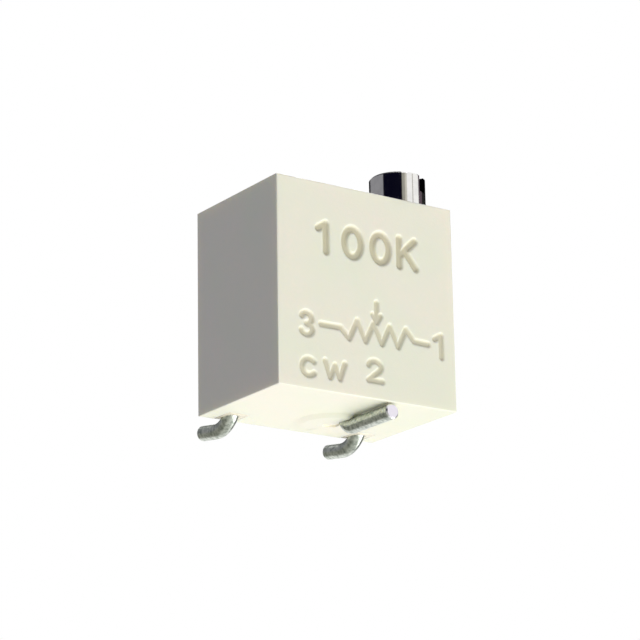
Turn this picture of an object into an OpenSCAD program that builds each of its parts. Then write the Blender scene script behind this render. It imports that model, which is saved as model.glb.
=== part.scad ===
// Square twelve-turn trimmer potentiometer with J-bent surface-mount leads.
// A worm on the adjustment screw drives a geared rotor. The rotor carries a sprung wiper round a
// horseshoe of resistive film on a ceramic plate, and epoxy seals the open back.
// X runs along the marked face, Y from that face to the back, and Z up from the circuit board.
// The origin is on the board, under the middle of the footprint.

/* [Housing] */
// Width of the moulded body, along the marked face
body_w = 7.04; // [7:0.02:7.6]
// Depth of the moulded body, from the marked face to the back rim
body_d = 4.80; // [4.76:0.02:5.4]
// Height of the moulded body
body_h = 7.04; // [6.9:0.02:7.6]
// Thickness of the moulded walls
wall = 0.42; // [0.36:0.01:0.44]
// Radius on the outer edges of the body
edge_r = 0.05; // [0.03:0.01:0.15]
// Height of the body above the circuit board
stand_off = 0.555; // [0.52:0.005:0.7]
// Radius of the round pedestal under the middle lead, where it meets the body
pedestal_r = 1.15; // [0.9:0.05:1.4]
// Drop of the pedestal below the body
pedestal_h = 0.13; // [0.1:0.01:0.2]

/* [Adjustment screw] */
// Distance of the screw's axis from the marked face and from the right side
screw_inset = 1.27; // [1.26:0.01:1.32]
// Radius of the screw's head
head_r = 0.95; // [0.88:0.01:0.97]
// Height of the head above the body
head_h = 1.2; // [0.8:0.05:1.6]
// Width of the driver slot
slot_w = 0.45; // [0.3:0.05:0.6]
// Depth of the driver slot
slot_d = 0.6; // [0.3:0.05:0.9]
// Direction of the driver slot at mid travel, in degrees from X
slot_angle = -60; // [-90:5:90]
// Depth of the screw's bearing below the top of the body
bearing_d = 1.17; // [1.1:0.01:1.25]
// Thickness of the U-shaped retaining clip
clip_t = 0.25; // [0.18:0.01:0.28]
// Thickness of the O-ring's section
o_ring_t = 0.28; // [0.24:0.02:0.32]

/* [Worm drive] */
// Gap between the rotor's teeth and the left wall
rotor_gap = 0.38; // [0.3:0.01:0.45]
// Number of teeth on the rotor
rotor_teeth = 15; // [13:1:15]
// Pitch radius of the worm
worm_r = 0.6; // [0.58:0.01:0.62]
// Height of the worm's thread and of the rotor's teeth outside their pitch lines
addendum = 0.17; // [0.14:0.01:0.19]
// Play between a worm flank and a rotor tooth, along the pitch line
backlash = 0.07; // [0.05:0.01:0.12]
// Face width of the rotor's teeth
rotor_t = 0.9; // [0.7:0.05:1]
// Radius of the rotor's pivot post
post_r = 0.6; // [0.5:0.02:0.64]

/* [Element] */
// Thickness of the ceramic plate
plate_t = 0.8; // [0.6:0.05:0.9]
// Thickness of the printed films
film_t = 0.03; // [0.02:0.005:0.05]
// Distance of the resistive track's middle line inside the rotor's pitch line
track_inset = 0.35; // [0.25:0.05:0.5]
// Width of the resistive track
track_w = 0.5; // [0.4:0.05:0.6]
// Turns of the screw from end to end of the track
turns = 12; // [10:1:12]
// Thickness of the epoxy behind the plate
seal_d = 0.86; // [0.8:0.02:1]
// Depth of the epoxy's face below the back rim
seal_recess = 0.15; // [0.1:0.01:0.2]

/* [Leads] */
// Radius of the lead wire
wire_r = 0.255; // [0.2:0.005:0.27]
// Distance of the two outer leads from the sides of the body
lead_inset = 0.98; // [0.9:0.02:1.1]
// Place of the middle lead, right of the middle of the body
middle_x = 0.9; // [0.6:0.02:1.1]
// Bend radius of the outer leads, at the middle of the wire
hook_r = 1.0; // [0.8:0.05:1.05]
// Slope of the outer leads' free ends
hook_rise = 8; // [0:1:12]
// Reach of the outer leads behind the body
foot_reach = 1.28; // [1:0.02:1.6]
// Bend radius of the middle lead, at the middle of the wire
middle_bend_r = 0.5; // [0.4:0.02:0.6]

/* [Fits] */
// Radial clearance of the turning parts
run_gap = 0.02; // [0.015:0.005:0.03]
// End play of the turning parts
end_gap = 0.04; // [0.03:0.005:0.06]

/* [Hidden] */
$fn = 48;
over = 0.5; // how far a cutting solid runs past what it cuts
lap = 0.002; // how far two lengths of one wire run into each other

// Planes of the body
body_y = -foot_reach / 2;
front_y = body_y - body_d / 2;
back_y = body_y + body_d / 2;
floor_z = stand_off;
top_z = floor_z + body_h;
mid_z = floor_z + body_h / 2;

// Planes of the cavity
in_x = body_w / 2 - wall;
in_front = front_y + wall;
in_floor = floor_z + wall;
in_top = top_z - wall;

// Planes of the ceramic plate
plate_gap = 0.05;
plate_back = back_y - seal_recess - seal_d;
plate_front = plate_back - plate_t;
plate_x = in_x - plate_gap;
plate_bottom = in_floor + plate_gap;
plate_top = in_top - plate_gap;
seat_w = 0.3;

// Screw, from the head down
screw_x = body_w / 2 - screw_inset;
screw_y = front_y + screw_inset;
head_overhang = 0.17;
shank_r = head_r - head_overhang;
bore_r = shank_r + run_gap;
head_lift = 0.03;
mouth_chamfer = 0.06;
rim_chamfer = 0.06;
bearing_z = top_z - bearing_d;
bearing_wall = 0.3;
groove_gap = 0.05;
groove_r = shank_r - o_ring_t;
groove_z = top_z - 0.62;
neck_r = 0.5;
collar_r = worm_r + addendum;
collar_t = 0.2;
clip_z = bearing_z - clip_t;
clip_w = 1.6;
clip_slot_r = neck_r + run_gap;
clip_back = screw_y + clip_slot_r + 0.36 * (plate_front - screw_y - clip_slot_r);
collar_top = clip_z - end_gap;
collar_bottom = collar_top - collar_t;
shaft_r = 0.45;
journal_r = 0.36;
journal_h = 0.55;
foot_boss_r = 0.72;
foot_boss_h = 0.6;
foot_boss_z = in_floor + foot_boss_h;
shaft_h = 0.75;

// Worm and rotor teeth, which share one tooth form
flank = 20;
rotor_pitch_r = (screw_x - worm_r + in_x - rotor_gap - addendum) / 2;
worm_pitch = 2 * PI * rotor_pitch_r / rotor_teeth;
dedendum = addendum + 0.06;
thread_w = worm_pitch / 2 - backlash;
worm_root_r = worm_r - dedendum;
worm_top = collar_bottom + 0.05;
worm_bottom = foot_boss_z + shaft_h;
run_out = 0.3;
worm_sides = 24;
worm_rings_per_turn = 12;
rotor_x = screw_x - worm_r - rotor_pitch_r;
rotor_tip_r = rotor_pitch_r + addendum;
rotor_root_r = rotor_pitch_r - dedendum;
tooth_w = worm_pitch / 2 - backlash;
tip_thinning = 0.04;
lead_slope = worm_pitch / (2 * PI * worm_r);
rotor_twist = rotor_t * lead_slope / rotor_pitch_r * 180 / PI;
rotor_front = screw_y - rotor_t / 2;
rotor_back = screw_y + rotor_t / 2;
hub_r = 0.52 * rotor_pitch_r;
hub_front = in_front + end_gap;
hub_back = rotor_back + 0.2;
dish_r = 0.74 * rotor_pitch_r;
dish_d = 0.22;
key_w = 0.3;

// Wiper
spring_t = 0.1;
spring_in_r = post_r + run_gap + (hub_r - post_r) / 5;
arm_w = 0.5;
contact_gap = 0.03;
contact_y = plate_front - film_t - contact_gap;
brush_wires = 5;
brush_wire_r = 0.04;
brush_bend_r = 0.14;
brush_y = contact_y - brush_bend_r - brush_wire_r;

// Printed films
sweep = turns * 360 / rotor_teeth;
run_on = 3;
track_r = rotor_pitch_r - track_inset;
track_end = sweep / 2 + run_on;
pad_sector = 12;
pad_overlap = 2;
trace_w = 0.4;
collector_r = 0.55;
collector_trace_w = 0.45;
end_pad_mid = track_end + pad_sector / 2;
end_pad_z = mid_z + track_r * cos(end_pad_mid);
pad_h = 0.58 * (end_pad_z - trace_w / 2 - plate_bottom);
pad_w = 0.7;
back_pad_h = 1.05;

// Leads
outer_x = body_w / 2 - lead_inset;
axis_z = wire_r;
solder_film = 0.015;
solder_rim = 0.04;
bare_end = 0.03;
outer_y = plate_back + film_t + solder_film + wire_r;
outer_top = plate_bottom + back_pad_h - 0.1;
hook_y = outer_y + hook_r;
hook_end_y = back_y + foot_reach;
middle_y = plate_front - film_t - solder_film - wire_r;
middle_top = plate_bottom + pad_h - 0.2;
middle_end_y = front_y + 0.01;
notch_gap = 0.15;
lead_gap = 0.01;
cut_chamfer = 0.05;
solder_r = 0.42;
solder_h = pad_h - 0.25;
pedestal_slope = 0.16;
pedestal_left = 0.3;
pedestal_behind = 0.4;
pedestal_x = middle_x - pedestal_left;
pedestal_y = middle_y + pedestal_behind;
dimple_r = 0.28;
dimple_d = 0.06;

// A block between two corners
module block(low, high) {
    translate(low) cube(high - low);
}

// A square of width w and height h about the middle, with round corners
module round_square(w, h, r) {
    for (x = [-1, 1], y = [-1, 1])
        translate([x * (w / 2 - r), y * (h / 2 - r)]) circle(r);
    square([w - 2 * r, h], center = true);
    square([w, h - 2 * r], center = true);
}

// Turns a shape drawn in X and Y to stand in X and Z, drawn from y = 0 towards the back
module upright() {
    rotate([90, 0, 0]) mirror([0, 0, 1]) children();
}

// Moves children to the rotor's axis, at depth y, with their own X along the right and Y up
module on_rotor(y) {
    translate([rotor_x, y, mid_z]) upright() children();
}

// The outer block, rounded along all its edges
module rounded_body() {
    translate([0, body_y, mid_z]) intersection() {
        linear_extrude(body_h + over, center = true) round_square(body_w, body_d, edge_r);
        rotate([90, 0, 0])
            linear_extrude(body_d + over, center = true) round_square(body_w, body_h, edge_r);
        rotate([90, 0, 90])
            linear_extrude(body_w + over, center = true) round_square(body_d, body_h, edge_r);
    }
}

// One corner seat for the ceramic plate, from the marked wall back
module plate_seat(side, low, high) {
    x = side * in_x;
    block([min(x, x - side * seat_w), in_front - over / 5, low],
          [max(x, x - side * seat_w), plate_front, high]);
}

// Slot in the floor for an outer lead, from the ceramic plate's back to depth y
module lead_notch(x, y, low, high) {
    half = wire_r + notch_gap;
    block([x - half, plate_back, low], [x + half, y, high]);
}

// Moulded housing, open at the back, with the screw's bearings and the rotor's post
module housing() {
    color([0.91, 0.90, 0.83]) difference() {
        union() {
            difference() {
                rounded_body();
                block([-in_x, in_front, in_floor], [in_x, back_y + over, in_top]);
            }
            for (side = [-1, 1]) {
                plate_seat(side, in_floor - over / 5, in_floor + seat_w);
                plate_seat(side, in_top - seat_w, in_top + over / 5);
            }
            block([screw_x - bore_r - bearing_wall, in_front - over / 5, bearing_z],
                  [in_x + over / 5, screw_y + bore_r + bearing_wall, in_top + over / 5]);
            translate([screw_x, screw_y, in_floor - over / 5])
                cylinder(r = foot_boss_r, h = foot_boss_h + over / 5);
            on_rotor(in_front - over / 5) cylinder(r = post_r, h = hub_back - in_front + over / 5);
            translate([pedestal_x, pedestal_y, floor_z - pedestal_h])
                cylinder(r1 = pedestal_r - pedestal_slope, r2 = pedestal_r + pedestal_slope, h = 2 * pedestal_h);
        }
        translate([screw_x, screw_y, bearing_z - over]) cylinder(r = bore_r, h = top_z - bearing_z + 2 * over);
        translate([screw_x, screw_y, top_z - mouth_chamfer])
            cylinder(r1 = bore_r, r2 = bore_r + 2 * mouth_chamfer, h = 2 * mouth_chamfer);
        translate([screw_x, screw_y, foot_boss_z - journal_h - 2 * end_gap])
            cylinder(r = journal_r + run_gap, h = journal_h + over);
        translate([pedestal_x, pedestal_y, floor_z - pedestal_h - over])
            cylinder(r = dimple_r, h = over + dimple_d);
        for (x = [-outer_x, outer_x]) lead_notch(x, back_y + over, floor_z - over, in_floor + over / 5);
        middle_wire(wire_r + lead_gap);
    }
}

// Epoxy that closes the back and fills round the outer leads
module rear_seal() {
    color([0.86, 0.83, 0.74]) difference() {
        union() {
            block([-in_x, plate_back, in_floor], [in_x, back_y - seal_recess, in_top]);
            for (x = [-outer_x, outer_x])
                lead_notch(x, back_y - seal_recess, floor_z, in_floor + over / 5);
        }
        for (side = [-1, 1]) {
            outer_wire(side * outer_x, wire_r);
            outer_solder_body(side * outer_x);
            back_pad(side);
        }
    }
}

// Radius of the worm at a distance along the axis from the middle of its thread
function thread_radius(s) =
    let (crest = thread_w / 2 - addendum * tan(flank),
         root = thread_w / 2 + dedendum * tan(flank))
    s <= crest ? worm_r + addendum :
    s >= root ? worm_root_r :
    worm_r + addendum - (s - crest) / (root - crest) * (addendum + dedendum);

// How much of the thread's height stands at height z, from 0 at its ends to 1
function run_in(z) = max(0, min(1, (worm_top - z) / run_out, (z - worm_bottom) / run_out));

// One ring of points round the worm; at the height of the rotor the thread faces the rotor
function worm_ring(z) = [
    for (k = [0:worm_sides - 1])
        let (a = 360 * k / worm_sides,
             u = (z - mid_z) / worm_pitch - (a - 180) / 360,
             s = abs(u - round(u)) * worm_pitch,
             r = worm_root_r + (thread_radius(s) - worm_root_r) * run_in(z))
        [r * cos(a), r * sin(a), z]
];

// Single-start right-hand worm, as one closed stack of rings
module worm() {
    step = worm_pitch / worm_rings_per_turn;
    count = ceil((worm_top - worm_bottom) / step);
    n = worm_sides;
    points = [for (i = [0:count]) each worm_ring(worm_bottom + i * (worm_top - worm_bottom) / count)];
    sides = [for (i = [0:count - 1], k = [0:n - 1])
        let (a = i * n + k, b = i * n + (k + 1) % n)
        each [[a, a + n, b + n], [a, b + n, b]]];
    bottom = [for (k = [0:n - 1]) k];
    top = [for (k = [n - 1:-1:0]) count * n + k];
    polyhedron(points, concat(sides, [bottom, top]));
}

// Brass screw: slotted head, O-ring groove, neck for the clip, collar, worm and lower journal
module adjustment_screw() {
    head_top = top_z + head_h;
    shank_bottom = bearing_z + end_gap;
    shoulder_z = foot_boss_z + end_gap;
    groove_half = o_ring_t / 2 + groove_gap;
    color([0.80, 0.79, 0.76]) difference() {
        translate([screw_x, screw_y, 0]) union() {
            rotate_extrude() polygon([
                [0, collar_bottom], [collar_r, collar_bottom], [collar_r, collar_top],
                [neck_r, collar_top], [neck_r, shank_bottom], [shank_r, shank_bottom],
                [shank_r, groove_z - groove_half], [groove_r, groove_z - groove_half],
                [groove_r, groove_z + groove_half], [shank_r, groove_z + groove_half],
                [shank_r, top_z + head_lift], [head_r, top_z + head_lift],
                [head_r, head_top - rim_chamfer], [head_r - rim_chamfer, head_top], [0, head_top]
            ]);
            worm();
            rotate_extrude() polygon([
                [0, foot_boss_z - journal_h], [journal_r, foot_boss_z - journal_h],
                [journal_r, shoulder_z], [shaft_r, shoulder_z],
                [shaft_r, worm_bottom + 0.05], [0, worm_bottom + 0.05]
            ]);
        }
        translate([screw_x, screw_y, head_top - slot_d]) rotate([0, 0, slot_angle])
            translate([-head_r - over, -slot_w / 2, 0]) cube([2 * (head_r + over), slot_w, slot_d + over]);
    }
}

// Rubber O-ring in the screw's groove
module screw_o_ring() {
    color([0.10, 0.10, 0.10]) translate([screw_x, screw_y, groove_z])
        rotate_extrude() translate([groove_r + run_gap / 2 + o_ring_t / 2, 0]) circle(o_ring_t / 2);
}

// U-shaped steel clip under the bearing, pushed in from the back over the screw's neck
module retaining_clip() {
    front = in_front + plate_gap;
    right = min(screw_x + clip_w / 2, in_x - plate_gap / 2);
    color([0.62, 0.64, 0.66]) difference() {
        block([screw_x - clip_w / 2, front, clip_z], [right, clip_back, bearing_z]);
        translate([screw_x, screw_y, clip_z - over]) cylinder(r = clip_slot_r, h = clip_t + 2 * over);
        block([screw_x - clip_slot_r, front - over, clip_z - over],
              [screw_x + clip_slot_r, screw_y, bearing_z + over]);
    }
}

// Outline of the rotor's toothed rim; the gap between two teeth faces the screw
module rotor_outline() {
    tip_half = tooth_w / 2 - addendum * tan(flank) - tip_thinning;
    root_half = tooth_w / 2 + dedendum * tan(flank);
    deg = 180 / PI;
    polygon([
        for (i = [0:rotor_teeth - 1])
            let (a = (i + 0.5) * 360 / rotor_teeth)
            each [
                for (p = [[rotor_root_r, -root_half], [rotor_pitch_r, -tooth_w / 2], [rotor_tip_r, -tip_half],
                          [rotor_tip_r, tip_half], [rotor_pitch_r, tooth_w / 2], [rotor_root_r, root_half]])
                    let (b = a + p[1] / p[0] * deg)
                    [p[0] * cos(b), p[0] * sin(b)]
            ]
    ]);
}

// Moulded rotor: helical teeth, hub on the post, and a dish with keys that drive the wiper
module rotor_gear() {
    color([0.20, 0.21, 0.22]) difference() {
        union() {
            on_rotor(rotor_front) rotate([0, 0, rotor_twist / 2])
                linear_extrude(rotor_t, twist = rotor_twist, slices = 4) rotor_outline();
            on_rotor(hub_front) cylinder(r = hub_r, h = hub_back - hub_front);
        }
        on_rotor(hub_front - over) cylinder(r = post_r + run_gap, h = hub_back - hub_front + 2 * over);
        on_rotor(rotor_back - dish_d) difference() {
            cylinder(r = dish_r, h = dish_d + over);
            translate([0, 0, -over / 2]) cylinder(r = hub_r, h = dish_d + 2 * over);
            for (side = [-1, 1])
                translate([side * (hub_r + dish_r) / 2 - key_w / 2, -dish_r, -over / 2])
                    cube([key_w, 2 * dish_r, dish_d + over / 2]);
        }
    }
}

// A strip of spring metal that follows points in one plane, given as its two sides
module strip(points, width) {
    under = [for (i = [len(points) - 1:-1:0]) points[i] + [0, spring_t]];
    rotate([90, 0, 0]) linear_extrude(width, center = true) polygon(concat(points, under));
}

// Spring-metal wiper: a ring on the rotor's hub, an arm to the track and an arm to the collector
module wiper_spring() {
    reach = brush_y - hub_back - spring_t - brush_wire_r;
    color([0.78, 0.62, 0.35]) on_rotor(hub_back) {
        difference() {
            cylinder(r = hub_r, h = spring_t);
            translate([0, 0, -over]) cylinder(r = spring_in_r, h = spring_t + 2 * over);
        }
        rotate([0, 0, 90]) strip([
            [hub_r - 0.15, 0], [hub_r, 0], [track_r - 0.3, reach], [track_r + 0.05, reach]
        ], arm_w);
        rotate([0, 0, -90]) strip([
            [hub_r - 0.1, 0], [hub_r - 0.3, 0], [0.3, contact_y - hub_back - spring_t],
            [-0.2, contact_y - hub_back - spring_t]
        ], arm_w);
    }
}

// Wiper brush: fine noble-metal wires on the end of the arm, bent back onto the track
module wiper_brush() {
    pitch = (arm_w - 2 * brush_wire_r) / (brush_wires - 1);
    color([0.86, 0.84, 0.78]) on_rotor(brush_y) rotate([0, 0, 90])
        for (i = [0:brush_wires - 1]) translate([0, (i - (brush_wires - 1) / 2) * pitch, 0]) {
            translate([track_r - 0.25, 0, 0]) rotate([0, 90, 0]) cylinder(r = brush_wire_r, h = 0.25, $fn = 16);
            translate([track_r, 0, brush_bend_r]) rotate([90, 0, 0]) rotate([0, 0, -90])
                rotate_extrude(angle = 90, $fn = 24) translate([brush_bend_r, 0]) circle(brush_wire_r, $fn = 16);
        }
}

// Alumina plate that carries the printed films
module ceramic_plate() {
    color([0.93, 0.92, 0.89]) block([-plate_x, plate_front, plate_bottom], [plate_x, plate_back, plate_top]);
}

// Part of a ring of film round the rotor's axis, between two angles from the top
module film_sector(from, to) {
    on_rotor(plate_front - film_t) rotate([0, 0, 90 - to]) rotate_extrude(angle = to - from)
        translate([track_r - track_w / 2, 0]) square([track_w, film_t]);
}

// Resistive film: a horseshoe that is open at the bottom
module resistive_track() {
    color([0.14, 0.13, 0.12]) film_sector(-track_end, track_end);
}

// Collector film: a round pad on the rotor's axis and a trace to the middle lead
module collector_track() {
    film_front = plate_front - film_t;
    trace_z = plate_bottom + pad_h / 2;
    color([0.75, 0.74, 0.70]) {
        on_rotor(film_front) cylinder(r = collector_r, h = film_t);
        block([rotor_x - collector_trace_w / 2, film_front, trace_z - collector_trace_w / 2],
              [rotor_x + collector_trace_w / 2, plate_front, mid_z]);
        block([rotor_x - collector_trace_w / 2, film_front, trace_z - collector_trace_w / 2],
              [middle_x, plate_front, trace_z + collector_trace_w / 2]);
        block([middle_x - pad_w / 2, film_front, plate_bottom],
              [middle_x + pad_w / 2, plate_front, plate_bottom + pad_h]);
    }
}

// The pad of an end termination on the back of the plate
module back_pad(side) {
    x = side * outer_x;
    block([x - trace_w / 2, plate_back, plate_bottom - film_t],
          [x + trace_w / 2, plate_back + film_t, plate_bottom + back_pad_h]);
}

// End termination: from one end of the track to the bottom edge, and round it to the back
module end_termination(side) {
    x = side * outer_x;
    film_front = plate_front - film_t;
    pad_x = rotor_x + side * track_r * sin(end_pad_mid);
    pad_z = end_pad_z;
    color([0.78, 0.77, 0.73]) difference() {
        union() {
            if (side > 0) film_sector(track_end - pad_overlap, track_end + pad_sector);
            else film_sector(-track_end - pad_sector, -track_end + pad_overlap);
            block([min(x - trace_w / 2, pad_x), film_front, pad_z - trace_w / 2],
                  [max(x + trace_w / 2, pad_x), plate_front, pad_z + trace_w / 2]);
            block([x - trace_w / 2, film_front, plate_bottom - film_t],
                  [x + trace_w / 2, plate_front, pad_z + trace_w / 2]);
            block([x - trace_w / 2, film_front, plate_bottom - film_t],
                  [x + trace_w / 2, plate_back + film_t, plate_bottom]);
            back_pad(side);
        }
        film_sector(-track_end, track_end);
    }
}
module end_termination_1() { end_termination(1); }
module end_termination_3() { end_termination(-1); }

// Moves a shape drawn in X and Y to the Y and Z plane at x
module in_side_plane(x) {
    translate([x, 0, 0]) rotate([90, 0, 90]) children();
}

// Wire of an outer lead: down behind the plate, then bent back and slightly up
module outer_wire(x, r) {
    centre = [hook_y, axis_z + hook_r];
    arc_end = centre + hook_r * [sin(hook_rise), -cos(hook_rise)];
    length = (hook_end_y - (r - cut_chamfer) * sin(hook_rise) - arc_end[0]) / cos(hook_rise);
    translate([x, outer_y, centre[1]]) cylinder(r = r, h = outer_top - centre[1]);
    in_side_plane(x) translate(centre) rotate([0, 0, 180])
        rotate_extrude(angle = 90 + hook_rise) translate([hook_r, 0]) circle(r);
    translate([x, arc_end[0], arc_end[1]]) rotate([hook_rise - 90, 0, 0]) {
        translate([0, 0, -lap]) cylinder(r = r, h = lap + length - cut_chamfer);
        translate([0, 0, length - cut_chamfer]) cylinder(r1 = r, r2 = r - cut_chamfer, h = cut_chamfer);
    }
}

// Wire of the middle lead: down in front of the plate, then bent forward under the body
module middle_wire(r) {
    centre = [middle_y - middle_bend_r, axis_z + middle_bend_r];
    length = centre[0] - middle_end_y;
    translate([middle_x, middle_y, centre[1]]) cylinder(r = r, h = middle_top - centre[1]);
    in_side_plane(middle_x) translate(centre) rotate([0, 0, -90])
        rotate_extrude(angle = 90) translate([middle_bend_r, 0]) circle(r);
    translate([middle_x, centre[0], axis_z]) rotate([90, 0, 0]) {
        cylinder(r = r, h = length - cut_chamfer);
        translate([0, 0, length - cut_chamfer]) cylinder(r1 = r, r2 = r - cut_chamfer, h = cut_chamfer);
    }
}

module terminal_1() { color([0.72, 0.74, 0.70]) outer_wire(outer_x, wire_r); }
module terminal_3() { color([0.72, 0.74, 0.70]) outer_wire(-outer_x, wire_r); }
module terminal_2() { color([0.72, 0.74, 0.70]) middle_wire(wire_r); }

// A cone of solder round a wire, that leaves the wire's end bare
module solder_cone(x, y, top) {
    translate([x, y, top - solder_h]) cylinder(r1 = solder_r, r2 = wire_r + solder_rim, h = solder_h - bare_end);
}

// Solder of an outer lead with the hole for its wire still filled
module outer_solder_body(x) {
    difference() {
        solder_cone(x, outer_y, outer_top);
        block([x - solder_r - over, outer_y - solder_r - over, outer_top - solder_h - over],
              [x + solder_r + over, plate_back + film_t, outer_top + over]);
    }
}

module outer_solder(x) {
    color([0.82, 0.83, 0.84]) difference() {
        outer_solder_body(x);
        outer_wire(x, wire_r);
    }
}
module solder_1() { outer_solder(outer_x); }
module solder_3() { outer_solder(-outer_x); }

module solder_2() {
    color([0.82, 0.83, 0.84]) difference() {
        solder_cone(middle_x, middle_y, middle_top);
        block([middle_x - solder_r - over, plate_front - film_t, middle_top - solder_h - over],
              [middle_x + solder_r + over, plate_front + over, middle_top + over]);
        middle_wire(wire_r);
    }
}

housing();
rear_seal();
adjustment_screw();
screw_o_ring();
retaining_clip();
rotor_gear();
wiper_spring();
wiper_brush();
ceramic_plate();
resistive_track();
collector_track();
end_termination_1();
end_termination_3();
terminal_1();
terminal_2();
terminal_3();
solder_1();
solder_2();
solder_3();
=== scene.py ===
import math

import bmesh
import bpy
import numpy as np
from mathutils import Matrix, Quaternion, Vector


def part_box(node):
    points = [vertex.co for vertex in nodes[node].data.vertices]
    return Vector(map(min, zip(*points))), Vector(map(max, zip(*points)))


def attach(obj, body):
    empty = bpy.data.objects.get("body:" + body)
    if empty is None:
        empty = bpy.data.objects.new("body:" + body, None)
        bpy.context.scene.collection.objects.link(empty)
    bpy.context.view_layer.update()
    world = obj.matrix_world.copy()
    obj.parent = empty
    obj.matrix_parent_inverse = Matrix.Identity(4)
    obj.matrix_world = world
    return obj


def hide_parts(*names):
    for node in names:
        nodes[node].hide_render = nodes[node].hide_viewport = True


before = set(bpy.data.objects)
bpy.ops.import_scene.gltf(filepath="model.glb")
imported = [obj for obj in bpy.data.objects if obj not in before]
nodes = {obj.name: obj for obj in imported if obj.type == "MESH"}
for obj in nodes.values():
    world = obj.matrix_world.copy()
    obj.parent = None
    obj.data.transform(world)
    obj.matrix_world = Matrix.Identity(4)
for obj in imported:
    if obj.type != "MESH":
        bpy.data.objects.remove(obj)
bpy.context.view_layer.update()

# The camera looks up at the part from below the board's level, as the product was photographed.
# A long lens keeps the upright edges almost parallel. The aim is a point inside the body.
MM = 0.001
CAMERA_AIM = Vector((-0.116, -0.468, 3.826)) * MM
CAMERA_AZIMUTH = math.radians(-34.84)
CAMERA_ELEVATION = math.radians(-16.73)
CAMERA_ROLL = math.radians(-1.04)
CAMERA_DISTANCE = 89.2 * MM
CAMERA_LENS = 151.1

away = Vector((
    math.sin(CAMERA_AZIMUTH) * math.cos(CAMERA_ELEVATION),
    -math.cos(CAMERA_AZIMUTH) * math.cos(CAMERA_ELEVATION),
    math.sin(CAMERA_ELEVATION),
))
camera = bpy.data.objects.new("camera", bpy.data.cameras.new("camera"))
camera.data.lens = CAMERA_LENS
camera.data.clip_start = 1 * MM
camera.data.clip_end = 2.0
camera.location = CAMERA_AIM + away * CAMERA_DISTANCE
camera.rotation_mode = "QUATERNION"
camera.rotation_quaternion = (-away).to_track_quat("-Z", "Y") @ Quaternion((0, 0, 1), CAMERA_ROLL)
bpy.context.scene.collection.objects.link(camera)
bpy.context.scene.camera = camera
bpy.context.scene.view_settings.view_transform = "Standard"

# The world is a white studio to the eye and in reflections, and an even, cool, dimmer
# light on the surfaces. That dimmer light is all that the left side of the body gets.
AMBIENT_COLOUR = (0.229, 0.230, 0.312, 1)


def add_nodes(tree, *kinds):
    """Makes one shader node of each kind named."""
    return [tree.nodes.new("ShaderNode" + kind) for kind in kinds]


def math_of(tree, operation, *values):
    """Works out one value from others. Each is a number, or a socket that gives one."""
    node = tree.nodes.new("ShaderNodeMath")
    node.operation = operation
    for socket, value in zip(node.inputs, values):
        if isinstance(value, bpy.types.NodeSocket):
            tree.links.new(value, socket)
        else:
            socket.default_value = value
    return node.outputs[0]


world = bpy.data.worlds.new("studio")
bpy.context.scene.world = world
world.use_nodes = True
tree = world.node_tree
tree.nodes.clear()
path, ambient, white, mix, output = add_nodes(
    tree, "LightPath", "Background", "Background", "MixShader", "OutputWorld"
)
seen = math_of(tree, "MAXIMUM", path.outputs["Is Camera Ray"], path.outputs["Is Glossy Ray"])
seen = math_of(tree, "MAXIMUM", seen, path.outputs["Is Transmission Ray"])
tree.links.new(seen, mix.inputs["Fac"])
ambient.inputs["Color"].default_value = AMBIENT_COLOUR
white.inputs["Color"].default_value = (1, 1, 1, 1)
tree.links.new(ambient.outputs[0], mix.inputs[1])
tree.links.new(white.outputs[0], mix.inputs[2])
tree.links.new(mix.outputs[0], output.inputs["Surface"])

# The lamps are soft suns. The key shines up from the right, below and in front, so the underside
# is the brightest face. The other one comes from above, behind and to the right.
KEY_FROM = Vector((0.23, -0.60, -0.765))
KEY_POWER = 3.55
KEY_WIDTH = math.radians(90)
TOP_FROM = Vector((0.35, 0.45, 0.82))
TOP_POWER = 2.8
TOP_WIDTH = math.radians(20)


def add_sun(name, source, power, width):
    """A soft sun that shines from the direction given."""
    lamp = bpy.data.objects.new(name, bpy.data.lights.new(name, "SUN"))
    lamp.data.energy = power
    lamp.data.angle = width
    lamp.rotation_mode = "QUATERNION"
    lamp.rotation_quaternion = source.to_track_quat("Z", "Y")
    bpy.context.scene.collection.objects.link(lamp)


add_sun("key_sun", KEY_FROM, KEY_POWER, KEY_WIDTH)
add_sun("top_sun", TOP_FROM, TOP_POWER, TOP_WIDTH)

# The floor is the board's level. It shows from above, with the part's shadow, and is clear from
# below, where the camera is. Lamps under it shine through.
FLOOR_HALF = 400 * MM
FLOOR_COLOUR = (0.87, 0.86, 0.79, 1)


def object_from(name, shape):
    """Makes an object from a bmesh and frees the bmesh."""
    mesh = bpy.data.meshes.new(name)
    shape.to_mesh(mesh)
    shape.free()
    made = bpy.data.objects.new(name, mesh)
    bpy.context.scene.collection.objects.link(made)
    return made


shape = bmesh.new()
bmesh.ops.create_grid(shape, x_segments=1, y_segments=1, size=FLOOR_HALF)
floor = object_from("floor", shape)
floor_material = bpy.data.materials.new("floor_paint")
floor_material.use_nodes = True
tree = floor_material.node_tree
tree.nodes.clear()
side, matt, clear, mix, output = add_nodes(
    tree, "NewGeometry", "BsdfDiffuse", "BsdfTransparent", "MixShader", "OutputMaterial"
)
matt.inputs["Color"].default_value = FLOOR_COLOUR
tree.links.new(side.outputs["Backfacing"], mix.inputs["Fac"])
tree.links.new(matt.outputs[0], mix.inputs[1])
tree.links.new(clear.outputs[0], mix.inputs[2])
tree.links.new(mix.outputs[0], output.inputs["Surface"])
floor.data.materials.append(floor_material)
floor.visible_diffuse = False
floor.visible_glossy = False
floor.visible_shadow = False

# Curved cards stand round and under the part, and show only in its metal. The black one makes
# the dark band of the screw, the grey ones its duller flanks and the grey of the wires, and the
# dark ones behind the part the outlines of the metal.
CARD_RADIUS = 60 * MM
CARD_STEP = math.radians(6)
CONE_HOLE = 0.1 * MM


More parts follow.
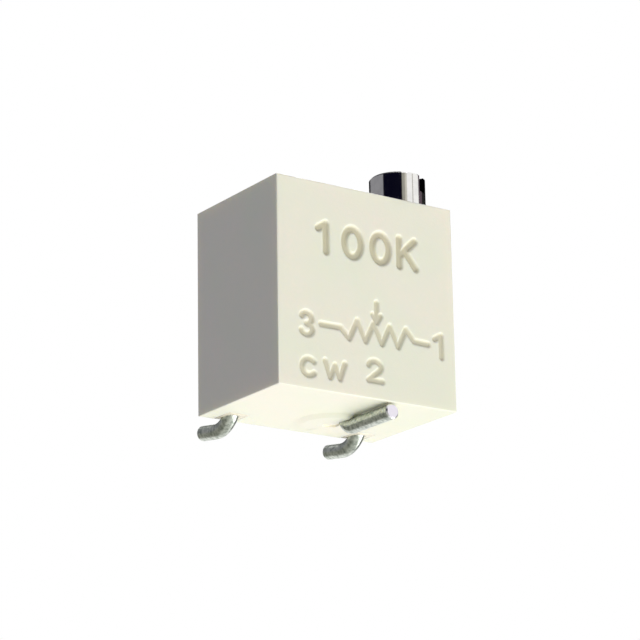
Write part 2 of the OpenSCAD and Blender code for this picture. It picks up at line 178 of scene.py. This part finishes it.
def add_card(name, start, end, low, high, grey, foot_radius=CARD_RADIUS):
    """A card round the Z axis, between two bearings from +X and two heights, with one dull colour."""
    shape = bmesh.new()
    foot = shape.verts.new((foot_radius, 0, low))
    head = shape.verts.new((CARD_RADIUS, 0, high))
    edge = shape.edges.new((foot, head))
    bmesh.ops.rotate(shape, verts=[foot, head], cent=(0, 0, 0), matrix=Matrix.Rotation(start, 3, "Z"))
    bmesh.ops.spin(
        shape, geom=[foot, head, edge], cent=(0, 0, 0), axis=(0, 0, 1),
        angle=end - start, steps=max(2, round((end - start) / CARD_STEP)), use_duplicate=False,
    )
    card = object_from(name, shape)
    paint = bpy.data.materials.new(name)
    paint.use_nodes = True
    paint.node_tree.nodes.clear()
    glow, output = add_nodes(paint.node_tree, "Emission", "OutputMaterial")
    glow.inputs["Color"].default_value = (*grey, 1)
    paint.node_tree.links.new(glow.outputs[0], output.inputs["Surface"])
    card.data.materials.append(paint)
    card.visible_camera = False
    card.visible_diffuse = False
    card.visible_shadow = False


# Each has a name, its first and last bearing in degrees, its foot and head in millimetres, and its
# grey.
for name, start, end, low, high, grey in (
    ("front_black_card", -183, -104, 2, 50, (0.003, 0.003, 0.010)),
    ("front_grey_card", -104, -92, 2, 50, (0.35, 0.34, 0.30)),
    ("front_pale_card", -92, -84, 2, 50, (0.62, 0.60, 0.53)),
    ("front_line_card", -61, -57, 2, 50, (0.50, 0.48, 0.45)),
    ("right_plum_card", -30, -8, 2, 50, (0.12, 0.09, 0.11)),
    ("right_back_card", -8, 34, 4, 50, (0.02, 0.02, 0.02)),
    ("tall_back_card", 34, 91, 4, 260, (0.008, 0.008, 0.010)),
    ("left_grey_card", 91, 177, 2, 50, (0.28, 0.28, 0.30)),
    ("low_left_card", 95, 177, -80, 2, (0.27, 0.27, 0.24)),
    ("low_front_card", -183, -96, -80, -6, (0.43, 0.44, 0.39)),
    ("low_right_card", 2, 36, -36, 4, (0.05, 0.05, 0.05)),
):
    add_card(name, math.radians(start), math.radians(end), low * MM, high * MM, grey)

# A very flat cone closes the room below.
add_card("low_cone_card", -math.pi, math.pi, -84 * MM, -80 * MM, (0.42, 0.43, 0.39), CONE_HOLE)

# The housing is one moulding of glass-filled cream plastic, open at the back. Its marks are
# soft grooves in the front face: a value, the track's diagram with its three lead numbers, and
# the letters of the clockwise end.
CREAM = (0.872, 0.862, 0.668)
CREAM_WARM = (0.918, 0.862, 0.682)
CREAM_GREEN = (0.852, 0.870, 0.656)
# Painted shade: the grooves are coloured towards a darker tan by their depth, for the shade in them.
GROOVE_PAINTED_SHADE = (0.44, 0.38, 0.19)
FACE_CUTS = 250
FLANK_STEEPNESS = 1.5
ARC_STEP = 15
SMOOTH_ANGLE = math.radians(32)
MERGE_DISTANCE = 0.0005 * MM
FLAT_ANGLE = math.radians(0.5)
SAME_PLANE = 0.001 * MM
EDGE_REACH = 0.01 * MM


def new_material(name, colour, metallic, roughness):
    """A material with a Principled shader, whose plain sockets are set here."""
    made = bpy.data.materials.new(name)
    made.use_nodes = True
    shader = made.node_tree.nodes["Principled BSDF"]
    shader.inputs["Base Color"].default_value = (*colour, 1)
    shader.inputs["Metallic"].default_value = metallic
    shader.inputs["Roughness"].default_value = roughness
    return made, made.node_tree, shader


def noise_of(tree, size, detail=3.0, stretch=(1, 1, 1)):
    """Noise on Object coordinates, with lumps of about the size given, in millimetres."""
    place, turn, noise = add_nodes(tree, "TexCoord", "Mapping", "TexNoise")
    turn.inputs["Scale"].default_value = stretch
    noise.inputs["Scale"].default_value = 1 / (size * MM)
    noise.inputs["Detail"].default_value = detail
    tree.links.new(place.outputs["Object"], turn.inputs["Vector"])
    tree.links.new(turn.outputs["Vector"], noise.inputs["Vector"])
    return noise.outputs["Fac"]


def blend_colours(tree, share, first, second):
    """A colour between two others. Each is a colour, or a socket that gives one."""
    mix = tree.nodes.new("ShaderNodeMix")
    mix.data_type = "RGBA"
    tree.links.new(share, mix.inputs["Factor"])
    for socket, value in ((mix.inputs["A"], first), (mix.inputs["B"], second)):
        if isinstance(value, tuple):
            socket.default_value = (*value, 1)
        else:
            tree.links.new(value, socket)
    return mix.outputs["Result"]


def ramp_of(tree, value, low, high):
    """Stretches a value so that low gives 0 and high gives 1."""
    ranged = tree.nodes.new("ShaderNodeMapRange")
    ranged.inputs["From Min"].default_value = low
    ranged.inputs["From Max"].default_value = high
    tree.links.new(value, ranged.inputs["Value"])
    return ranged.outputs["Result"]


def paint_between(tree, shader, share, first, second):
    """Colours the surface between two colours, by a share from 0 to 1."""
    tree.links.new(blend_colours(tree, share, first, second), shader.inputs["Base Color"])


def add_bump(tree, shader, height, depth):
    """Bumps the surface by a height map, to a depth in millimetres."""
    bump = tree.nodes.new("ShaderNodeBump")
    bump.inputs["Distance"].default_value = depth * MM
    bump.inputs["Strength"].default_value = 1.0
    tree.links.new(height, bump.inputs["Height"])
    tree.links.new(bump.outputs["Normal"], shader.inputs["Normal"])
    return bump


def arc(centre, half_w, half_h, start, end):
    """Points of an arc, in degrees clockwise from the right, in face millimetres with down positive."""
    count = max(2, round(abs(end - start) / ARC_STEP))
    angles = [math.radians(start + (end - start) * i / count) for i in range(count + 1)]
    return [(centre[0] + half_w * math.cos(a), centre[1] + half_h * math.sin(a)) for a in angles]


# The strokes of each letter, in a box one wide and one high, with down positive.
GLYPHS = {
    "1": [[(0.15, 0.20), (0.60, 0.0), (0.60, 1.0)]],
    "0": [arc((0.5, 0.5), 0.5, 0.5, 0, 360)],
    "K": [[(0.0, 0.0), (0.0, 1.0)], [(0.95, 0.0), (0.0, 0.64)], [(0.34, 0.42), (1.0, 1.0)]],
    "2": [arc((0.48, 0.28), 0.46, 0.28, 190, 395) + [(0.0, 1.0), (1.0, 1.0)]],
    "3": [arc((0.46, 0.25), 0.44, 0.25, 200, 450) + arc((0.46, 0.75), 0.50, 0.25, 280, 520)],
    "C": [arc((0.55, 0.5), 0.52, 0.5, 315, 45)],
    "W": [[(0.0, 0.0), (0.25, 1.0), (0.5, 0.2), (0.75, 1.0), (1.0, 0.0)]],
}


def glyph(letter, left, top, width, height):
    """The strokes of one letter, set in a box on the face."""
    return [[(left + x * width, top + y * height) for x, y in stroke] for stroke in GLYPHS[letter]]


def groove(points, strokes, stroke_width, depth):
    """How deep the grooves are at each point of the face. Their flanks are soft, their floors flat."""
    nearest = np.full(len(points), np.inf)
    for stroke in strokes:
        for start, end in zip(stroke, stroke[1:]):
            start = np.array(start)
            along = np.array(end) - start
            share = np.clip(((points - start) @ along) / (along @ along), 0, 1)
            nearest = np.minimum(nearest, np.linalg.norm(points - start - share[:, None] * along, axis=1))
    inside = np.clip(FLANK_STEEPNESS * (1 - nearest / (stroke_width / 2)), 0, 1)
    return depth * inside * inside * (3 - 2 * inside)


# The marks are in millimetres, and their places are measured from the face's top left corner.
LARGE_STROKE = 0.34
LARGE_DEPTH = 0.075
LARGE_TOP = 1.40
LARGE_HEIGHT = 0.94
LARGE_WIDTH = 0.66
large_marks = []
for letter, left in (("1", 1.52), ("0", 2.64), ("0", 3.76), ("K", 4.85)):
    large_marks += glyph(letter, left, LARGE_TOP, LARGE_WIDTH, LARGE_HEIGHT)

SMALL_STROKE = 0.27
SMALL_DEPTH = 0.06
LINE_START = 1.66
LINE_END = 5.92
LINE_LEVEL = 4.83
LINE_DROP = 0.05
ZIGZAG_TOP = 4.50
ZIGZAG_FOOT = 5.14
ZIGZAG_START = 2.60
ZIGZAG_STEP = 0.325
ZIGZAG_POINTS = 8
WIPER_X = 3.87
WIPER_TOP = 3.78
WIPER_FOOT = 4.42
ARROW_WIDTH = 0.15
ARROW_TOP = 4.20
ARROW_TIP = 4.44
zigzag = [(LINE_START, LINE_LEVEL), (ZIGZAG_START - ZIGZAG_STEP / 2, LINE_LEVEL)]
for i in range(ZIGZAG_POINTS):
    zigzag.append((ZIGZAG_START + (i + 0.5) * ZIGZAG_STEP, ZIGZAG_TOP if i % 2 else ZIGZAG_FOOT))
zigzag.append((ZIGZAG_START + (ZIGZAG_POINTS + 0.5) * ZIGZAG_STEP, LINE_LEVEL + 0.6 * LINE_DROP))
zigzag.append((LINE_END, LINE_LEVEL + LINE_DROP))
arrow_shaft = [(WIPER_X, WIPER_TOP), (WIPER_X, WIPER_FOOT)]
arrow_head = [(WIPER_X - ARROW_WIDTH, ARROW_TOP), (WIPER_X, ARROW_TIP), (WIPER_X + ARROW_WIDTH, ARROW_TOP)]
small_marks = [zigzag, arrow_shaft, arrow_head]
for letter, left, top, width, height in (
    ("3", 0.90, 4.53, 0.44, 0.72),
    ("1", 6.12, 4.50, 0.58, 0.74),
    ("C", 0.88, 6.05, 0.52, 0.54),
    ("W", 1.80, 6.03, 0.76, 0.52),
    ("2", 3.49, 5.76, 0.54, 0.66),
):
    small_marks += glyph(letter, left, top, width, height)

# The largest face at the front of the CAD solid is cut into a fine grid, and the grid is pushed in
# at the marks. An attribute keeps how far, for the painted shade that darkens the grooves.
housing_low, housing_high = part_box("housing")
shape = bmesh.new()
shape.from_mesh(nodes["housing"].data)
bmesh.ops.remove_doubles(shape, verts=shape.verts, dist=MERGE_DISTANCE)
bmesh.ops.dissolve_limit(shape, angle_limit=FLAT_ANGLE, verts=shape.verts, edges=shape.edges)
shape.normal_update()
foremost = [f for f in shape.faces if f.calc_center_median().y < housing_low.y + EDGE_REACH]
front = max(foremost, key=lambda face: face.calc_area())
bmesh.ops.subdivide_edges(shape, edges=list(front.edges), cuts=FACE_CUTS, use_grid_fill=True)
groove_shade_layer = shape.verts.layers.float.new("mark")
face_verts = [v for v in shape.verts if v.co.y < housing_low.y + SAME_PLANE]
places = np.array([((v.co.x - housing_low.x) / MM, (housing_high.z - v.co.z) / MM) for v in face_verts])
depths = np.maximum(
    groove(places, large_marks, LARGE_STROKE, LARGE_DEPTH),
    groove(places, small_marks, SMALL_STROKE, SMALL_DEPTH),
)
for v, depth in zip(face_verts, depths):
    v.co.y += depth * MM
    v[groove_shade_layer] = depth / LARGE_DEPTH


def smooth_by_angle(piece, angle=SMOOTH_ANGLE):
    """Shades a piece smooth, but for edges sharper than the angle."""
    piece.data.shade_smooth()
    piece.data.set_sharp_from_angle(angle=angle)
    weigh = piece.modifiers.new("flat faces stay flat", "WEIGHTED_NORMAL")
    weigh.keep_sharp = True


housing = object_from("housing_moulding", shape)
smooth_by_angle(housing)
plastic, tree, shader = new_material("cream_plastic", CREAM, metallic=0.0, roughness=0.42)
blotch = ramp_of(tree, noise_of(tree, size=2.6, detail=2.0), 0.35, 0.65)
tinted = blend_colours(tree, blotch, CREAM_WARM, CREAM_GREEN)
speckle = ramp_of(tree, noise_of(tree, size=0.12, detail=4.0), 0.3, 0.8)
tinted = blend_colours(tree, speckle, tinted, CREAM)
mark = tree.nodes.new("ShaderNodeAttribute")
mark.attribute_name = "mark"
# Painted shade: the deeper a point lies in a groove, the more it is coloured towards the darker tan.
painted_groove_shade = ramp_of(tree, mark.outputs["Fac"], 0.1, 1.6)
paint_between(tree, shader, painted_groove_shade, tinted, GROOVE_PAINTED_SHADE)
for socket, value in (
    ("Subsurface Weight", 0.25),
    ("Subsurface Radius", (1.0, 0.85, 0.5)),
    ("Subsurface Scale", 0.35 * MM),
    ("Specular IOR Level", 0.35),
):
    shader.inputs[socket].default_value = value
add_bump(tree, shader, noise_of(tree, size=0.09, detail=5.0), depth=0.003)
housing.data.materials.append(plastic)
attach(housing, "case")
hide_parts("housing")

# The adjustment screw is turned from brass and nickel plated. Its head, above the body, is made
# here with a chamfered rim and a sawn slot; the shank, worm and journal below are the CAD's.
HEAD_SEGMENTS = 128
HEAD_RADIUS = 0.95 * MM
HEAD_HEIGHT = 1.17 * MM
RIM_CHAMFER = 0.06 * MM
FOOT_CHAMFER = 0.03 * MM
SLOT_WIDTH = 0.45 * MM
SLOT_DEPTH = 0.60 * MM
SLOT_ANGLE = math.radians(-60)
SLOT_BURR = 0.018 * MM
SPIGOT_RADIUS = 0.70 * MM
SPIGOT_LENGTH = 0.04 * MM
FACE_ANGLE = math.radians(20)
SOFTEN_ANGLE = math.radians(60)
NICKEL = (0.86, 0.85, 0.82)
NICKEL_DULL = (0.76, 0.75, 0.74)
# Painted shade: the inside of the slot is coloured near black.
SLOT_PAINTED_SHADE = (0.05, 0.045, 0.05)

screw_low, screw_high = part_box("adjustment_screw")
screw_axis = Vector(((screw_low.x + screw_high.x) / 2, (screw_low.y + screw_high.y) / 2, 0))
head_foot = screw_high.z - HEAD_HEIGHT


def spun(profile, centre, segments):
    """A closed turned shape: radius and height pairs, from axis to axis, spun round Z."""
    shape = bmesh.new()
    line = [shape.verts.new((r, 0, z)) for r, z in profile]
    edges = [shape.edges.new(pair) for pair in zip(line, line[1:])]
    bmesh.ops.spin(
        shape, geom=line + edges, cent=(0, 0, 0), axis=(0, 0, 1),
        angle=2 * math.pi, steps=segments, use_merge=True, use_duplicate=False,
    )
    bmesh.ops.remove_doubles(shape, verts=shape.verts, dist=MERGE_DISTANCE)
    bmesh.ops.recalc_face_normals(shape, faces=shape.faces)
    bmesh.ops.translate(shape, verts=shape.verts, vec=centre)
    return shape


top = screw_high.z
head = object_from("screw_head", spun([
    (0, head_foot - SPIGOT_LENGTH), (SPIGOT_RADIUS, head_foot - SPIGOT_LENGTH),
    (SPIGOT_RADIUS, head_foot), (HEAD_RADIUS - FOOT_CHAMFER, head_foot),
    (HEAD_RADIUS, head_foot + FOOT_CHAMFER), (HEAD_RADIUS, top - RIM_CHAMFER),
    (HEAD_RADIUS - RIM_CHAMFER, top), (0, top),
], screw_axis, HEAD_SEGMENTS))
shape = bmesh.new()
bmesh.ops.create_cube(shape, size=1)
bmesh.ops.scale(shape, verts=shape.verts, vec=(4 * HEAD_RADIUS, SLOT_WIDTH, 2 * SLOT_DEPTH))
bmesh.ops.rotate(shape, verts=shape.verts, cent=(0, 0, 0), matrix=Matrix.Rotation(SLOT_ANGLE, 3, "Z"))
bmesh.ops.translate(shape, verts=shape.verts, vec=screw_axis + Vector((0, 0, top)))
saw = object_from("slot_saw", shape)
sawing = head.modifiers.new("slot", "BOOLEAN")
sawing.object = saw
sawing.operation = "DIFFERENCE"
sawing.solver = "EXACT"
soften = head.modifiers.new("soften", "BEVEL")
soften.width = SLOT_BURR
soften.segments = 2
soften.limit_method = "ANGLE"
soften.angle_limit = SOFTEN_ANGLE
bpy.context.view_layer.update()
sawn_head = bpy.data.meshes.new_from_object(head.evaluated_get(bpy.context.evaluated_depsgraph_get()))
bpy.data.objects.remove(saw)
bpy.data.objects.remove(head)

# The CAD's screw is cut off and closed just under the head, inside the reach of the head's spigot.
shape = bmesh.new()
shape.from_mesh(nodes["adjustment_screw"].data)
bmesh.ops.remove_doubles(shape, verts=shape.verts, dist=MERGE_DISTANCE)
everything = shape.verts[:] + shape.edges[:] + shape.faces[:]
opened = bmesh.ops.bisect_plane(
    shape, geom=everything, plane_co=(0, 0, head_foot - SPIGOT_LENGTH / 2), plane_no=(0, 0, 1),
    clear_outer=True,
)
rim = [e for e in opened["geom_cut"] if isinstance(e, bmesh.types.BMEdge)]
bmesh.ops.contextual_create(shape, geom=rim)
shape.from_mesh(sawn_head)
screw = object_from("screw_turned", shape)
smooth_by_angle(screw, FACE_ANGLE)
nickel, tree, shader = new_material("nickel_plate", NICKEL, metallic=1.0, roughness=0.09)
turning_marks = noise_of(tree, size=0.5, detail=2.0, stretch=(0.15, 0.15, 12.0))
add_bump(tree, shader, turning_marks, depth=0.0012)
dull = blend_colours(tree, ramp_of(tree, noise_of(tree, size=0.35), 0.4, 0.7), NICKEL, NICKEL_DULL)

# The slot is painted darker than the plate, as painted shade: the mask is 1 between its walls and above
# its floor.
slot_normal = Vector((-math.sin(SLOT_ANGLE), math.cos(SLOT_ANGLE), 0))
slot_middle = slot_normal.dot(screw_axis)
slot_floor = top - SLOT_DEPTH
place, across, split = add_nodes(tree, "TexCoord", "VectorMath", "SeparateXYZ")
across.operation = "DOT_PRODUCT"
across.inputs[1].default_value = slot_normal
tree.links.new(place.outputs["Object"], across.inputs[0])
tree.links.new(place.outputs["Object"], split.inputs["Vector"])
between = math_of(tree, "COMPARE", across.outputs["Value"], slot_middle, (SLOT_WIDTH + SLOT_BURR) / 2)
above = math_of(tree, "GREATER_THAN", split.outputs["Z"], slot_floor - SLOT_BURR / 2)
painted_slot_shade = math_of(tree, "MULTIPLY", between, above)
paint_between(tree, shader, painted_slot_shade, dull, SLOT_PAINTED_SHADE)
screw.data.materials.append(nickel)
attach(screw, "screw")
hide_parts("adjustment_screw")

# The three leads are round tinned copper wire. Leads 1 and 3 drop behind the ceramic plate and
# hook back; lead 2 drops in front of it and bends forward. Each is a disc, drawn and spun along.
WIRE_SEGMENTS = 48
BEND_STEP = 4
WIRE_RADIUS = 0.255 * MM
CUT_CHAMFER = 0.05 * MM
HOOK_RADIUS = 1.0 * MM
HOOK_RISE = math.radians(8)
MIDDLE_RADIUS = 0.5 * MM
TIN = (0.76, 0.79, 0.72)
TIN_DARK = (0.34, 0.38, 0.33)
# Painted highlight: the cut end's pale, cool colour.
CUT_END_HIGHLIGHT = (0.86, 0.82, 0.90)

# The cut end is smooth, and its pale cool colour is a painted highlight: an attribute is 1 there, changes
# the colour and stops the bump.
tinned, tree, shader = new_material("tinned_wire", TIN, metallic=1.0, roughness=0.30)
patch = ramp_of(tree, noise_of(tree, size=0.13, detail=4.0), 0.36, 0.68)
cut = tree.nodes.new("ShaderNodeAttribute")
cut.attribute_name = "cut"
wire_colour = blend_colours(tree, patch, TIN, TIN_DARK)
paint_between(tree, shader, cut.outputs["Fac"], wire_colour, CUT_END_HIGHLIGHT)
bump = add_bump(tree, shader, noise_of(tree, size=0.30, detail=2.0), depth=0.0025)
tree.links.new(ramp_of(tree, cut.outputs["Fac"], 1.0, 0.0), bump.inputs["Strength"])


def draw_on(shape, faces, vec, keep_start=False):
    """Extrudes end faces along a vector, and gives the new end faces."""
    moved = bmesh.ops.extrude_face_region(shape, geom=faces)["geom"]
    if not keep_start:
        bmesh.ops.delete(shape, geom=faces, context="FACES")
    bmesh.ops.translate(shape, verts=[v for v in moved if isinstance(v, bmesh.types.BMVert)], vec=vec)
    return [f for f in moved if isinstance(f, bmesh.types.BMFace)]


def lead(name, node, backward, bend_radius, bend_angle):
    """A bent wire in the place of a CAD lead; backward is 1 for a hook and -1 for the middle lead."""
    low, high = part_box(node)
    x = (low.x + high.x) / 2
    y = low.y + WIRE_RADIUS if backward > 0 else high.y - WIRE_RADIUS
    bend_centre = Vector((x, y + backward * bend_radius, WIRE_RADIUS + bend_radius))
    shape = bmesh.new()
    bmesh.ops.create_circle(shape, cap_ends=True, segments=WIRE_SEGMENTS, radius=WIRE_RADIUS)
    bmesh.ops.translate(shape, verts=shape.verts, vec=(x, y, high.z))
    bmesh.ops.reverse_faces(shape, faces=shape.faces)
    bend_start = draw_on(shape, shape.faces[:], (0, 0, bend_centre.z - high.z), keep_start=True)
    spun_end = bmesh.ops.spin(
        shape, geom=bend_start, cent=bend_centre, axis=(backward, 0, 0), angle=bend_angle,
        steps=round(math.degrees(bend_angle) / BEND_STEP), use_duplicate=False,
    )["geom_last"]
    bmesh.ops.delete(shape, geom=bend_start, context="FACES")
    end = [f for f in spun_end if isinstance(f, bmesh.types.BMFace)]

    # The straight end is drawn on as far as the CAD lead's box reaches.
    rise = bend_angle - math.pi / 2
    outward = Vector((0, backward * math.cos(rise), math.sin(rise)))
    middle = end[0].calc_center_median()
    reach = (high.y if backward > 0 else low.y) - (WIRE_RADIUS - CUT_CHAMFER) * math.sin(rise) * backward
    length = abs(reach - middle.y) / math.cos(rise)
    end = draw_on(shape, end, outward * (length - CUT_CHAMFER))
    end = draw_on(shape, end, outward * CUT_CHAMFER)

    # Its last ring is drawn in to the chamfer, and marked as the cut.
    narrow = (WIRE_RADIUS - CUT_CHAMFER) / WIRE_RADIUS
    middle = end[0].calc_center_median()
    cut_layer = shape.verts.layers.float.new("cut")
    for v in end[0].verts:
        v.co = middle + (v.co - middle) * narrow
        v[cut_layer] = 1
    bmesh.ops.recalc_face_normals(shape, faces=shape.faces)
    made = object_from(name, shape)
    smooth_by_angle(made)
    made.data.materials.append(tinned)
    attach(made, "case")
    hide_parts(node)


lead("lead_1_wire", "terminal_1", 1, HOOK_RADIUS, math.pi / 2 + HOOK_RISE)
lead("lead_3_wire", "terminal_3", 1, HOOK_RADIUS, math.pi / 2 + HOOK_RISE)
lead("lead_2_wire", "terminal_2", -1, MIDDLE_RADIUS, math.pi / 2)

# Cream epoxy fills the open back and the notches round leads 1 and 3. It was poured, so its face
# is glossy and climbs a little where it meets the moulded rim.
EPOXY = (0.84, 0.79, 0.61)
EPOXY_DARK = (0.77, 0.71, 0.51)
MENISCUS_WIDTH = 0.22 * MM
MENISCUS_HEIGHT = 0.07 * MM
GRID_STEP = 0.07 * MM
MENISCUS_ANGLE = math.radians(50)

# The CAD solid is cut by two sets of planes, and its back face is then raised near its edges. At
# MENISCUS_WIDTH from the rim a twentieth of the rise is left.
seal_low, seal_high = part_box("rear_seal")
shape = bmesh.new()
shape.from_mesh(nodes["rear_seal"].data)
bmesh.ops.remove_doubles(shape, verts=shape.verts, dist=MERGE_DISTANCE)
for axis, low, high in ((0, seal_low.x, seal_high.x), (2, seal_low.z, seal_high.z)):
    count = round((high - low) / GRID_STEP)
    normal = Vector((axis == 0, 0, axis == 2))
    for i in range(1, count):
        everything = shape.verts[:] + shape.edges[:] + shape.faces[:]
        place = normal * (low + (high - low) * i / count)
        bmesh.ops.bisect_plane(shape, geom=everything, plane_co=place, plane_no=normal)
plate_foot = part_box("ceramic_plate")[0].z
for v in [v for v in shape.verts if v.co.y > seal_high.y - SAME_PLANE]:
    x, z = v.co.x, v.co.z
    nearest = max(0, min(x - seal_low.x, seal_high.x - x, seal_high.z - z, z - plate_foot))
    v.co.y += MENISCUS_HEIGHT * math.exp(-3 * nearest / MENISCUS_WIDTH)
seal = object_from("epoxy_fill", shape)
smooth_by_angle(seal, MENISCUS_ANGLE)
epoxy, tree, shader = new_material("cream_epoxy", EPOXY, metallic=0.0, roughness=0.22)
cloud = ramp_of(tree, noise_of(tree, size=1.4), 0.35, 0.7)
paint_between(tree, shader, cloud, EPOXY, EPOXY_DARK)
add_bump(tree, shader, noise_of(tree, size=0.9, detail=2.0), depth=0.02)
seal.data.materials.append(epoxy)
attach(seal, "case")
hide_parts("rear_seal")


def dress(node, material):
    """Gives a CAD part its finish."""
    piece = nodes[node]
    piece.data.materials.clear()
    piece.data.materials.append(material)


# The rotor is the toothed wheel that the worm turns, and it carries the wiper. It is moulded from
# dark glass-filled nylon, shows fine flow marks, and turns on a post of the housing.
NYLON = (0.035, 0.037, 0.040)
NYLON_DARK = (0.030, 0.032, 0.035)
NYLON_PALE = (0.055, 0.057, 0.06)
nylon, tree, shader = new_material("rotor_nylon", NYLON, metallic=0.0, roughness=0.45)
flow = ramp_of(tree, noise_of(tree, size=0.6, detail=4.0, stretch=(1, 3, 1)), 0.3, 0.7)
paint_between(tree, shader, flow, NYLON_DARK, NYLON_PALE)
add_bump(tree, shader, noise_of(tree, size=0.08, detail=4.0), depth=0.004)
dress("rotor_gear", nylon)

# The O-ring seals the screw in its bore, from a groove of the shank. It is moulded from black
# rubber, and has the faint bloom of its mould release.
RUBBER = (0.02, 0.02, 0.02)
RUBBER_DARK = (0.012, 0.012, 0.012)
RUBBER_BLOOM = (0.05, 0.05, 0.05)
rubber, tree, shader = new_material("ring_rubber", RUBBER, metallic=0.0, roughness=0.6)
bloom = ramp_of(tree, noise_of(tree, size=0.2, detail=5.0), 0.4, 0.8)
paint_between(tree, shader, bloom, RUBBER_DARK, RUBBER_BLOOM)
add_bump(tree, shader, noise_of(tree, size=0.05), depth=0.003)
dress("screw_o_ring", rubber)

# The clip holds the screw in, and is pushed over its neck under the bearing. It is stamped from
# spring steel strip, and keeps the strip's rolling lines.
STEEL = (0.50, 0.51, 0.53)
STEEL_DARK = (0.42, 0.43, 0.45)
STEEL_PALE = (0.60, 0.61, 0.62)
steel, tree, shader = new_material("clip_strip", STEEL, metallic=1.0, roughness=0.3)
rolled = noise_of(tree, size=0.4, detail=4.0, stretch=(1, 14, 1))
paint_between(tree, shader, rolled, STEEL_DARK, STEEL_PALE)
add_bump(tree, shader, rolled, depth=0.003)
dress("retaining_clip", steel)

# The wiper is stamped from a copper-nickel-zinc spring strip and fixed to the rotor's hub. Its
# brush is five fine wires of drawn noble metal at the end of its arm.
SPRING_ALLOY = (0.72, 0.58, 0.34)
SPRING_DARK = (0.62, 0.48, 0.27)
SPRING_PALE = (0.80, 0.66, 0.42)
NOBLE = (0.80, 0.77, 0.70)
NOBLE_DARK = (0.72, 0.70, 0.64)
NOBLE_PALE = (0.86, 0.83, 0.76)
alloy, tree, shader = new_material("wiper_strip", SPRING_ALLOY, metallic=1.0, roughness=0.25)
rolled = noise_of(tree, size=0.3, detail=4.0, stretch=(12, 1, 1))
paint_between(tree, shader, rolled, SPRING_DARK, SPRING_PALE)
add_bump(tree, shader, rolled, depth=0.002)
dress("wiper_spring", alloy)
noble, tree, shader = new_material("brush_wire", NOBLE, metallic=1.0, roughness=0.18)
drawn = noise_of(tree, size=0.1, stretch=(1, 1, 5))
paint_between(tree, shader, drawn, NOBLE_DARK, NOBLE_PALE)
add_bump(tree, shader, drawn, depth=0.001)
dress("wiper_brush", noble)

# The plate is fired alumina, white and finely grained. Its films are screen printed and fired:
# a dark resistive horseshoe, and silver-palladium conductors.
ALUMINA = (0.84, 0.83, 0.80)
ALUMINA_DARK = (0.80, 0.79, 0.75)
ALUMINA_PALE = (0.88, 0.87, 0.84)
CERMET = (0.03, 0.028, 0.026)
CERMET_DARK = (0.02, 0.019, 0.018)
CERMET_PALE = (0.06, 0.055, 0.05)
CONDUCTOR = (0.62, 0.60, 0.55)
CONDUCTOR_DARK = (0.52, 0.50, 0.45)
CONDUCTOR_PALE = (0.70, 0.68, 0.63)
ceramic, tree, shader = new_material("alumina_plate", ALUMINA, metallic=0.0, roughness=0.5)
grain = ramp_of(tree, noise_of(tree, size=0.05, detail=5.0), 0.3, 0.7)
paint_between(tree, shader, grain, ALUMINA_DARK, ALUMINA_PALE)
add_bump(tree, shader, noise_of(tree, size=0.04, detail=4.0), depth=0.003)
dress("ceramic_plate", ceramic)
cermet, tree, shader = new_material("resistive_print", CERMET, metallic=0.0, roughness=0.35)
mesh_mark = ramp_of(tree, noise_of(tree, size=0.07, detail=4.0), 0.35, 0.75)
paint_between(tree, shader, mesh_mark, CERMET_DARK, CERMET_PALE)
add_bump(tree, shader, noise_of(tree, size=0.06), depth=0.003)
dress("resistive_track", cermet)
print_metal, tree, shader = new_material("conductor_print", CONDUCTOR, metallic=1.0, roughness=0.4)
grains = ramp_of(tree, noise_of(tree, size=0.06, detail=4.0), 0.3, 0.7)
paint_between(tree, shader, grains, CONDUCTOR_DARK, CONDUCTOR_PALE)
add_bump(tree, shader, noise_of(tree, size=0.05), depth=0.004)
for node in ("collector_track", "end_termination_1", "end_termination_3"):
    dress(node, print_metal)

# Solder cones join the three leads to their films on the plate, inside the part. They froze
# bright, with a light frost.
SOLDER = (0.68, 0.69, 0.70)
SOLDER_DULL = (0.60, 0.61, 0.62)
SOLDER_FROST = (0.75, 0.76, 0.77)
solder, tree, shader = new_material("solder_cone", SOLDER, metallic=1.0, roughness=0.2)
frost = ramp_of(tree, noise_of(tree, size=0.15, detail=4.0), 0.4, 0.7)
paint_between(tree, shader, frost, SOLDER_DULL, SOLDER_FROST)
add_bump(tree, shader, noise_of(tree, size=0.12), depth=0.006)
for node in ("solder_1", "solder_2", "solder_3"):
    dress(node, solder)
